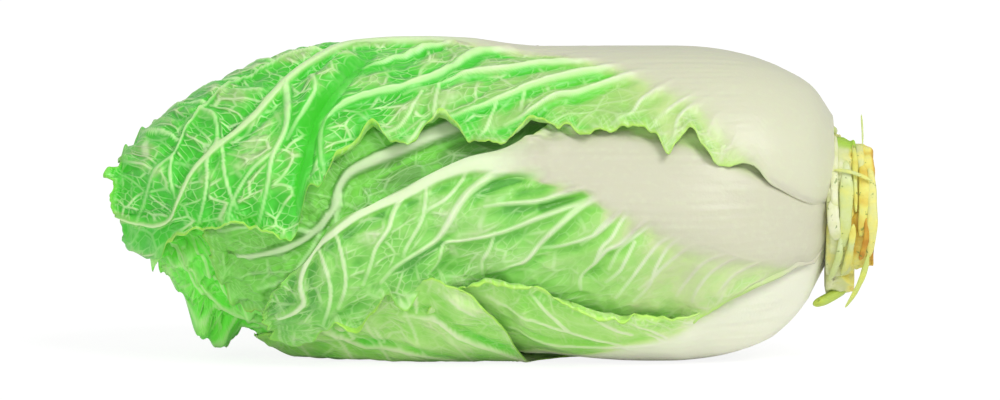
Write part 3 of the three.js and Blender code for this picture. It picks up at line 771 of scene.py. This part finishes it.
# ---------------------------------------------------------------- leaf under: wraps the underside
# The leaf the head rests on. It grows from the bottom of the stem and wraps up on both sides,
# its white stalk pressed flat by the weight and its blade, painted pale as if lit from below, showing low on
# the near side.
under_leaf = grow_leaf(
    "leaf_under", 216, 176,
    petiole=[(134, 24), (104, 26), (80, 22), (50, 14), (20, 8), (-10, 5), (-50, 3), (-92, 1)],
    veins=[
        (3.6, (20, -76), (4, -61), (-6, -54), (-20, -43), (-26, -42), (-34, -42)),
        (3.6, (-14, -70), (-34, -62), (-50, -64), (-58, -56), (-66, -50), (-72, -46)),
        (1.8, (-29, -40), (-30, -30), (-34, -19)), (1.8, (-6, -37), (-12, -33), (-18, -28)),
        (1.8, (-54, -58), (-58, -48), (-60, -42)), (1.8, (-42, -60), (-46, -48)),
        *side_veins("leaf_under", 1, 60, -70, 8, 14),
        *side_veins("leaf_under", -1, 60, -70, 8, 15)],
    tips=[(0.75, 0.5, 7)],
    creases=[(10, -3.4, 0, (-66, -10), (-78, -40), (-86, -62), (-92, -84), (-97, -110), (-99, -140),
              (-100, -175))],
    green=(0.4, 0.6), white=(60, 100), crinkle=0.8, frill=1.6, netting=0.5, seed=80)
under_leaf.data.materials.append(PAINTED_LIGHT_LEAF)

# ---------------------------------------------------------------- leaf back: the outer leaf on the far side
# A broad outer leaf that covers the far side, from the top leaf's margin down to the leaf that
# the head rests on. Its white stalk runs straight and its side veins are evenly spaced.
back_leaf = grow_leaf(
    "leaf_back", 240, 192,
    petiole=[(134, 36), (110, 36), (84, 32), (50, 24), (24, 14), (0, 8), (-30, 5), (-70, 3), (-124, 1)],
    veins=[*side_veins("leaf_back", -1, 66, -96, 12, 16), *side_veins("leaf_back", 1, 66, -96, 12, 17)],
    cut=(-1, (135, 114), (126, 112), (118, 113), (106, 117)),
    green=(0.42, 0.85), frill=2.2, seed=100)
back_leaf.data.materials.append(OUTER_LEAF)

# ---------------------------------------------------------------- second layer
# Five leaves wrapped under the outer ones. They show where those leave a gap: one in the hollow
# between the top and the front leaf, one crumpled at the tips, and three behind.

# Cuticle of young leaves: thin, crisp and bright yellow-green at the tips, partly their own colour and partly
# painted light on tips that face down
SECOND_LEAF = leaf_material(
    "second_leaf_cuticle",
    [(0, "#cdd3b0"), (1, "#70fa40"), (0.22, "#b8dc90"), (0.45, "#a8f078"), (0.75, "#8cfa58")],
    [(0, "#cfd3b4"), (1, "#bcff94"), (0.45, "#ccf0a8")])
# The same painted darker for the leaf in the hollow between the outer leaves: an even, dull green as painted
# shade
PAINTED_SHADE_LEAF = leaf_material(
    "painted_shade_hollow_leaf_cuticle",
    [(0, "#cdd3b0"), (1, "#7cd44e"), (0.3, "#9cc878"), (0.6, "#6ea84e"), (0.86, "#68ac46")],
    [(0, "#dcdfc4"), (1, "#bcf49c"), (0.6, "#ccdfb2")])
second = [
    grow_leaf(
        "leaf_shoulder", 220, 160,
        petiole=[(124, 26), (84, 16), (44, 6), (0, 2.8), (-34, 2.2), (-52, 1.7), (-62, 1.1), (-80, 0.9),
                 (-100, 0.5)],
        midrib=[(124, 34), (80, 46), (40, 50), (0, 44), (-20, 36), (-36, 28), (-49, 22), (-56, 18), (-60, 12),
                (-62, 4), (-68, -4), (-76, -11), (-87, -17), (-100, -23)],
        veins=[(2.4, (-56, 18), (-59, 12), (-59, 5), (-62, -2)),
               (3.0, (-64, 2), (-70, -12), (-80, -26), (-92, -36)),
               (3.0, (-70, -6), (-84, -4), (-96, -6), (-108, -12)),
               (2.8, (-60, 6), (-62, -10), (-66, -22), (-72, -34))],
        green=(0.5, 1.0), crinkle=0.5, crisp=1.3, frill=2.4, netting=0.5, first_rows=(0.25, 0.52), seed=120),
    grow_leaf(
        "leaf_tip", 240, 180,
        petiole=[(121, 26), (80, 16), (30, 7), (-20, 3), (-60, 1.6), (-100, 1), (-120, 0)],
        veins=[*side_veins("leaf_tip", -1, -20, -120, 9, 20), *side_veins("leaf_tip", 1, -20, -120, 9, 21)],
        cut=(1, (-88, -10), (-100, -2), (-110, 10), (-120, 24), (-130, 36), (-150, 46)),
        tips=[(0.75, 0.3, 8)],
        green=(0.5, 1.0), crinkle=1.2, crisp=1.9, frill=2.6, netting=0.7, first_rows=(0.22, 0.5), seed=140),
]
for k, name in enumerate(("leaf_back_upper", "leaf_back_lower", "leaf_back_inner")):
    second.append(grow_leaf(
        name, 120, 92,
        petiole=[(124, 26), (80, 20), (30, 10), (-20, 6), (-60, 4), (-100, 2.4), (-138, 1)],
        veins=[*side_veins(name, -1, 0, -116, 9, 22 + k), *side_veins(name, 1, 0, -116, 9, 32 + k)],
        green=(0.5, 0.92), crinkle=1.3, frill=2.8, seed=160 + 20 * k))
for piece in second:
    piece.data.materials.append(PAINTED_SHADE_LEAF if piece == second[0] else SECOND_LEAF)

# ---------------------------------------------------------------- inner leaves and heart leaves
# The third layer and the heart, wrapped tighter and thicker in the flesh than the outer leaves.
# Only their crinkled tips can be seen, from the tip end; they fill the head down to the stem.

# Blanched tissue, grown out of the light: cream stalks and yellow-green blades
INNER_LEAF = leaf_material(
    "blanched_leaf_cuticle",
    [(0, "#eef0d2"), (1, "#a6e070"), (0.4, "#dcefa6"), (0.7, "#c3e88a")],
    [(0, "#f2f2de"), (1, "#d2f0a8")])
# The heart has hardly any green: cream to butter yellow
HEART_LEAF = leaf_material(
    "heart_leaf_cuticle",
    [(0, "#f2f1d4"), (1, "#dcec8c"), (0.5, "#ecf0ae")],
    [(0, "#f4f3e0"), (1, "#eaf2b8")])
for k in range(8):
    heart = k >= 5
    name = f"heart_leaf_{k - 4}" if heart else f"leaf_inner_{k + 1}"
    tip = LEAVES[name]["stations"][-1][0]
    piece = grow_leaf(
        name, 64, 48,
        petiole=[(124, 26), (60, 18), (0, 8), (-60, 4), (tip, 1)],
        veins=[*side_veins(name, -1, -20, tip + 10, 6, 50 + k),
               *side_veins(name, 1, -20, tip + 10, 6, 60 + k)],
        green=(0.5, 1.0), crinkle=1.2, frill=2.4, seed=240 + 20 * k)
    piece.data.materials.append(HEART_LEAF if heart else INNER_LEAF)

# ---------------------------------------------------------------- butt: the trimmed stem and cut leaf bases
# The knife leaves a flat end on the pale stem. Round it stand the stubs of the leaves taken off:
# thick cream wedges, yellow at the cut, browning where it has dried, with torn green fibres.
STEM_HEIGHT = 60
STEM_RADIUS = 24


def around_stem(x, bearing, radius):
    """A point by its place along the stem, its bearing round the stem's line and its radius."""
    angle = np.radians(bearing)
    return np.stack([x, -radius * np.cos(angle), STEM_HEIGHT + radius * np.sin(angle)], -1)


def tube_faces(rows, columns):
    """Faces of a closed tube of `rows` + 1 rings; a last point at each end closes it."""
    grid = np.arange((rows + 1) * columns).reshape(rows + 1, columns)
    turned = np.roll(grid, -1, axis=1)
    faces = np.stack([grid[:-1], turned[:-1], turned[1:], grid[1:]], -1).reshape(-1, 4).tolist()
    first, last = (rows + 1) * columns, (rows + 1) * columns + 1
    faces += [[int(b), int(a), first] for a, b in zip(grid[0], turned[0])]
    return faces + [[int(a), int(b), last] for a, b in zip(grid[-1], turned[-1])]


def cut_material(name, stops):
    """Cut plant tissue: `dry` runs from fresh cream by yellow to brown, in blotches of 6 mm, and
    `sap` says how green it still is. Flecks of 2 mm and fibres 4 mm long and 0.7 wide lie on it."""
    material, tree = new_material(name)
    dry, green = [add(tree, "Attribute", attribute_name=key).outputs["Fac"] for key in ("dry", "sap")]
    place = add(tree, "TexCoord").outputs["Object"]
    blotch = add(tree, "TexNoise", [("Vector", place), ("Scale", 160.0), ("Detail", 4.0)])
    wave = add(tree, "Math", [(0, blotch), (1, 0.7), (2, -0.35)], operation="MULTIPLY_ADD")
    tone = add(tree, "Math", [(0, dry), (1, wave)], operation="ADD")
    aged = add(tree, "ValToRGB", [("Fac", tone)], stops)
    sappy = add(tree, "Mix", [("Factor", green), (6, aged), (7, linear("#a8d048"))], data_type="RGBA")
    flecks = add(tree, "TexNoise", [("Vector", place), ("Scale", 520.0), ("Detail", 1.0)])
    spot = add(tree, "MapRange", [("Value", flecks), (1, 0.68), (2, 0.74)])
    share = add(tree, "Math", [(0, spot), (1, 0.7)], operation="MULTIPLY")
    colour = add(tree, "Mix", [("Factor", share), (6, sappy.outputs[2]), (7, linear("#6f8a35"))],
                 data_type="RGBA")
    stretch = add(tree, "Mapping", [("Vector", place), ("Scale", (250.0, 1500.0, 1500.0))])
    fibres = add(tree, "TexNoise", [("Vector", stretch), ("Scale", 1.0), ("Detail", 3.0)])
    bump = add(tree, "Bump", [("Height", fibres), ("Strength", 0.5), ("Distance", 0.0006)])
    skin = add(tree, "BsdfPrincipled", [
        ("Base Color", colour.outputs[2]), ("Roughness", 0.5), ("Subsurface Weight", 0.12),
        ("Subsurface Radius", (1.0, 0.8, 0.4)), ("Subsurface Scale", 0.002), ("Normal", bump)])
    add(tree, "OutputMaterial", [("Surface", skin)])
    return material


# Moist cut tissue dries from cream through straw yellow to ochre
STUB_CUT = cut_material(
    "drying_cut_tissue",
    [(0, "#e6e8c2"), (1, "#c48a22"), (0.25, "#d6dc98"), (0.5, "#eee678"), (0.75, "#e2bc40")])
# The stem's own cut is still moist: cream, browning only at the rim
STEM_CUT = cut_material(
    "fresh_stem_cut",
    [(0, "#e6e8c8"), (1, "#c9a24e"), (0.4, "#dfe2b4"), (0.75, "#d9cf86")])

# bearings from and to, x from and to, outer radius, how dry at either end, and how green at the
# high end
STUBS = [
    (-9, 74, 133.6, 145.4, 33.6, 0.34, 0.14, 1), (-2, 68, 143.2, 152.8, 32, 0.66, 0.36, 0),
    (-62, -4, 133.6, 145, 33, 0.2, 0.34, 0), (-52, 4, 143.2, 152.8, 32.4, 0.5, 0.85, 0),
    (-104, -56, 133.8, 145.4, 35.4, 0.3, 0.22, 0), (-172, -104, 134.3, 146, 33, 0.3, 0.2, 0),
    (125, 184, 134.3, 149, 32, 0.4, 0.3, 0), (76, 125, 134.3, 140, 30.4, 0.2, 0.3, 0.4),
]
STUB_ROWS, STUB_COLUMNS = 72, 40
INNER_RADIUS = STEM_RADIUS - 1
for k, (start, end, near, far, outer, dry_low, dry_high, sap) in enumerate(STUBS):
    # round the stem s goes from end to end of the stub, and t round its section, a rounded
    # rectangle: cosine and sine to the power 0.28; the ends close as 1 - s**12
    turns = np.arange(STUB_COLUMNS) * 2 * np.pi / STUB_COLUMNS
    s, t = np.meshgrid(np.linspace(-1, 1, STUB_ROWS + 1), turns, indexing="ij")
    close = np.sqrt(1 - 0.9 * s**12)
    along_stem, outward = (np.sign(wave) * np.abs(wave) ** 0.28 for wave in (np.cos(t), np.sin(t)))
    bearing = (start + end) / 2 + (end - start) / 2 * s
    arc = np.radians(bearing) * outer
    # the cut edge wanders along the arc, and strips of tissue run side by side round the stub
    wander = 0.9 * ripple(np.stack([arc, 0 * arc + 40 * k], -1), 8, k + 1) - 3 * smooth(np.abs(s), 0.7, 1)
    x = (near + far) / 2 + (far - near) / 2 * along_stem * close + np.minimum(wander * (along_stem > 0), 0.4)
    layers = 1.2 * ripple(np.stack([0.16 * arc + 30 * k, x], -1), 2.3, k + 21)
    layers += 0.6 * ripple(np.stack([arc, x], -1), 3.8, k + 31)
    high = (outer - 1.0) * (1 - 0.05 * s**2) + np.minimum(layers, 0.9)
    radius = INNER_RADIUS + (high - INNER_RADIUS) * (0.5 + 0.5 * outward * close)
    rings = around_stem(x, bearing, radius).reshape(-1, 3)
    middle = np.full((2, 2), [(near + far) / 2, (STEM_RADIUS + outer) / 2])
    ends = around_stem(middle[:, 0], np.array([start, end]), middle[:, 1])
    age = dry_low + (dry_high - dry_low) * (s + 1) / 2 + 0.3 * smooth(along_stem, 0.5, 1) - 0.16 * layers
    attributes = [("dry", np.append(age.ravel(), [dry_low, dry_high])),
                  ("sap", np.append((sap * smooth(s, 0.4, 0.62)).ravel(), [0, sap]))]
    stub = make_mesh(f"leaf_stub_{k + 1}_cut", np.concatenate([rings, ends]),
                     tube_faces(STUB_ROWS, STUB_COLUMNS), attributes)
    stub.data.materials.append(STUB_CUT)
    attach(stub, "root")
    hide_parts(f"leaf_stub_{k + 1}")

# The stem: a profile of (x, radius) turned round its line, a cone inside the head and a short
# trunk outside. Its rim is a little out of round, and the knife left its end uneven.
STEM_PROFILE = np.array([
    (86, 2), (92, 10), (104, 13), (116, 13.5), (126, 12), (133, 9.5), (135, 14), (136.4, 23.4), (138, 24),
    (142, 24), (146, 23.8), (149, 23.6), (150, 22.8), (150.4, 21), (150.4, 17), (150.5, 12), (150.5, 7),
    (150.6, 3)])
STEM_COLUMNS = 96
x, bearing = np.meshgrid(STEM_PROFILE[:, 0], np.linspace(0, 360, STEM_COLUMNS, endpoint=False), indexing="ij")
angle = np.radians(bearing)
radius = STEM_PROFILE[:, 1:] * (1 + 0.02 * ripple(np.stack([x, angle * STEM_RADIUS], -1), 9.4, 91))
end_face = np.stack([radius * np.cos(angle), radius * np.sin(angle)], -1)
x = x + (x > 149.5) * 0.35 * ripple(end_face, 4, 92)
poles = around_stem(np.array([85.0, 150.6]), np.zeros(2), np.zeros(2))
stem_points = np.concatenate([around_stem(x, bearing, radius).reshape(-1, 3), poles])
dry = 0.1 + 0.5 * smooth(x, 149, 150.4) * smooth(radius, 12, 23)
stem = make_mesh("stem_cut", stem_points, tube_faces(len(STEM_PROFILE) - 1, STEM_COLUMNS),
                 [("dry", np.append(dry.ravel(), [0, 0.15]))])
stem.data.materials.append(STEM_CUT)
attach(stem, "root")
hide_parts("stem_butt")

# Torn strips and fibres left on the stubs: width, thickness, how dry and how green, then places
# as x, bearing and radius
FIBRES = [
    (1.7, 0.8, 0.3, 0.2, (136.6, 31, 34.6), (141, 30, 35.2), (146, 28, 34.6), (152, 24, 33.2)),
    (2.4, 1.0, 0.4, 0.4, (150.5, -30, 31.5), (149, -42, 34.5), (145.5, -54, 39), (141.5, -61, 43.5)),
    (1.2, 0.6, 0.3, 0.5, (149, -40, 31), (147.5, -50, 34), (145.5, -54, 38.5), (144, -57, 41)),
    (0.8, 0.5, 0.2, 0.3, (148.4, 58, 30), (148.5, 66, 33.5), (148.2, 70, 38), (148, 72, 40.5)),
    (7.6, 4.2, 0.45, 0.7, (142, -78, 33), (137.6, -74, 35.4), (133, -71, 38.2), (129, -69, 40)),
    (3.2, 1.6, 0.1, 0, (137.6, 66, 32.8), (137, 40, 33.4), (136.8, 14, 33.4), (137.6, -10, 32.8)),
    (5.4, 1.4, 0.22, 0.2, (141.6, 40, 33), (141.6, 18, 33.5), (141.2, 0, 33.5), (140.4, -24, 32.6)),
    (4.4, 1.2, 0.55, 0.1, (148, 40, 31.4), (148.6, 18, 32), (148.4, 0, 32), (147.4, -16, 31.6)),
    (4.0, 1.4, 0.42, 0, (151, 40, 30.8), (151.8, 14, 32), (151.8, -10, 32.6), (150.6, -34, 31.4)),
    (2.4, 1.2, 0.95, 0, (149.4, 0, 32), (149.6, -14, 32.9), (148.4, -26, 32.7), (147.2, -36, 31.8)),
    (5.0, 1.6, 0.0, 0, (136.6, 12, 32.4), (136.2, 2, 34), (136.8, -9, 33.8), (138, -18, 32.6)),
    (3.0, 1.5, 0.36, 0.15, (144.4, -6, 32.6), (143.6, -20, 33.6), (142, -36, 33.2), (140, -52, 32.4)),
    (2.8, 1.4, 0.18, 0.3, (139.4, -14, 32.8), (138.8, -28, 33.8), (137, -42, 33.8), (135, -56, 33.4)),
    (3.4, 1.4, 0.3, 0, (147, 62, 30), (147.2, 48, 31.4), (147.6, 34, 31.2)),
    (5.0, 4.4, 0.16, 0.3, (136.8, 92, 30.6), (136.6, 104, 31), (136.2, 116, 31), (136, 130, 29.4)),
    (2.2, 1.2, 0.5, 0.2, (144.6, 58, 31.6), (145.2, 40, 32.2), (145, 20, 32.4), (145.4, 2, 32)),
]
FIBRE_ROWS, FIBRE_COLUMNS = 40, 12
for k, (width, thickness, dry, sap, *route) in enumerate(FIBRES):
    # a flat oval section carried along a curve, its half width (1 - |s|**3)**0.7 for s from -1 to 1,
    # uneven along the way
    line = around_stem(*curve(route, FIBRE_ROWS + 1).T)
    ahead = np.gradient(line, axis=0)
    ahead /= np.linalg.norm(ahead, axis=1, keepdims=True)
    across = np.cross(ahead, (line - (0, 0, STEM_HEIGHT)) * (0, 1, 1))
    across /= np.linalg.norm(across, axis=1, keepdims=True)
    lift = np.cross(across, ahead)
    t = (np.arange(FIBRE_COLUMNS) * 2 * np.pi / FIBRE_COLUMNS)[None, :, None]
    s = np.linspace(-1, 1, FIBRE_ROWS + 1)
    uneven = ripple(np.stack([3 * s, 0 * s + 7 * k], -1), 1.4, 95)
    fade = (0.02 + 0.98 * (1 - np.abs(s) ** 3) ** 0.7)[:, None, None]
    wide = (width * (1 + 0.2 * uneven) / 2)[:, None, None]
    section = across[:, None] * np.cos(t) * wide + lift[:, None] * np.sin(t) * thickness / 2
    points = np.concatenate([(line[:, None] + section * fade).reshape(-1, 3), line[[0, -1]]])
    age = np.append(np.repeat(dry + 0.2 * uneven, FIBRE_COLUMNS), [dry, dry])
    fibre = make_mesh(f"torn_fibre_{k + 1}", points, tube_faces(FIBRE_ROWS, FIBRE_COLUMNS),
                      [("dry", age), ("sap", np.full(len(points), sap))])
    fibre.data.materials.append(STUB_CUT)
    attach(fibre, "root")

# ---------------------------------------------------------------- heart bud
# The tight bud in the middle of the head, young leaves folded over one another in pleats. It
# grows from the tip of the stem, and only its end shows, from the tip end of the head.
BUD_ROWS, BUD_COLUMNS = 80, 64
BUD_RADIUS = 13
# s goes from the stem to the tip and t round it; the radius grows as s**0.7, closes as 1 - s**10
# and rises in five broad and nine narrow pleats that twist along it
turns = np.arange(BUD_COLUMNS) * 2 * np.pi / BUD_COLUMNS
s, t = np.meshgrid(np.linspace(0, 1, BUD_ROWS + 1), turns, indexing="ij")
pleats = 1 + 0.16 * np.cos(5 * t + 6 * s) + 0.09 * np.cos(9 * t - 17 * s)
radius = BUD_RADIUS * np.minimum(s / 0.4, 1) ** 0.7 * np.sqrt(1.02 - s**10) * pleats
x = np.append((80 - 208 * s).ravel(), [81, -129])
out, up = (np.append((radius * wave).ravel(), [0, 0]) for wave in (np.cos(t), np.sin(t)))
# the colour deepens towards the tip; the pleats' grooves are painted greener as painted shade and their
# ridges lighter as painted highlight
tone_and_pleat_shade = np.append((0.3 + 0.5 * s - 1.2 * (pleats - 1)).ravel(), [0.3, 0.8])
bud = make_mesh("heart_bud_folds", np.stack([x, out, axis_height(x) + up], -1),
                [face[::-1] for face in tube_faces(BUD_ROWS, BUD_COLUMNS)],
                [("green", tone_and_pleat_shade), ("pale", 0 * tone_and_pleat_shade)])
bud.data.materials.append(HEART_LEAF)
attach(bud, "root")
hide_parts("heart_bud")

# ---------------------------------------------------------------- floor, light and camera
# A plain white table under soft, even studio light: a broad sun from the front right, a weaker
# one from the front, and a white surround. The camera stands well back, a little above the head.
FLOOR_HALF = 3000
corners = np.array([(-1, -1, 0), (1, -1, 0), (1, 1, 0), (-1, 1, 0)]) * FLOOR_HALF
floor = make_mesh("floor", corners - (0, 0, 0.2), [(0, 1, 2, 3)])
# White laminate, matt; most of what the eye sees of it is plain white, so the shadow stays light
TABLE = bpy.data.materials.new("white_laminate")
TABLE.use_nodes = True
table = TABLE.node_tree
top = table.nodes["Principled BSDF"]
top.inputs["Base Color"].default_value = linear("#ffffff")
top.inputs["Roughness"].default_value = 0.9
seen = add(table, "LightPath").outputs["Is Camera Ray"]
share = add(table, "Math", [(0, seen), (1, 0.8)], operation="MULTIPLY")
white = add(table, "Emission", [("Color", (1, 1, 1, 1)), ("Strength", 1.1)])
seen_top = add(table, "MixShader", [(0, share), (1, top), (2, white)])
table.links.new(seen_top.outputs[0], table.nodes["Material Output"].inputs["Surface"])
floor.data.materials.append(TABLE)

scene = bpy.context.scene
scene.view_settings.view_transform = "Standard"
scene.world = bpy.data.worlds.new("studio")
scene.world.use_nodes = True
sky = scene.world.node_tree
seen = add(sky, "LightPath").outputs["Is Camera Ray"]
level = add(sky, "Math", [(0, seen), (1, 0.5), (2, 0.5)], operation="MULTIPLY_ADD").outputs[0]
sky.nodes["Background"].inputs["Color"].default_value = (1, 1, 1, 1)
sky.links.new(level, sky.nodes["Background"].inputs["Strength"])

SUNS = [("key", (0.6, -0.75, 0.85), 1.5, 28), ("fill", (-0.3, -1.0, 0.02), 1.0, 60)]
for name, toward, power, spread in SUNS:
    sun = bpy.data.lights.new(name, "SUN")
    sun.energy, sun.angle = power, np.radians(spread)
    light = bpy.data.objects.new(name, sun)
    light.matrix_world = Vector(toward).to_track_quat("Z", "Y").to_matrix().to_4x4()
    scene.collection.objects.link(light)

VIEW_RISE = np.radians(5.5)
VIEW_DISTANCE = 4.444
target = Vector((4 * MM, 0, 63 * MM))
camera = bpy.data.objects.new("camera", bpy.data.cameras.new("camera"))
camera.data.lens = 400
camera.data.clip_end = 30
away = Vector((0, -np.cos(VIEW_RISE), np.sin(VIEW_RISE))) * VIEW_DISTANCE
facing = (-away).to_track_quat("-Z", "Y").to_matrix().to_4x4()
camera.matrix_world = Matrix.Translation(target + away) @ facing
scene.collection.objects.link(camera)
scene.camera = camera

bpy.context.view_layer.update()
